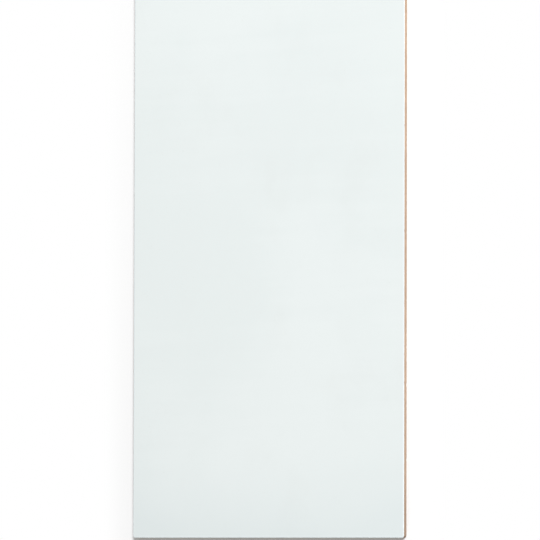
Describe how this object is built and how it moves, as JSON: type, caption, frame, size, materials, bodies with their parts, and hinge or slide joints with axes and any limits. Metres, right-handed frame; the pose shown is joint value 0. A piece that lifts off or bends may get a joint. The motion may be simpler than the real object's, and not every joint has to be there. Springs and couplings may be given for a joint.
{
  "type": "hardboard wall panel",
  "caption": "Flat rectangular sheet of pressed hardboard with a smooth white coated face, bare brown sawn edges and a bare back, for lining a wall.",
  "frame": {"origin": "centre of the underside, which is the bare back of the sheet as it lies face up", "axes": "+X across the width, +Y along the length, +Z out of the coated face"},
  "size_m": [0.6096, 1.2192, 0.0063],
  "materials": {
    "coated_hardboard": "smooth satin cool-white coating on the face; bare mid-brown wood fibre on the sawn edges and the screen-marked back"
  },
  "bodies": {
    "root": {"hardboard_sheet": "coated_hardboard"}
  },
  "joints": []
}
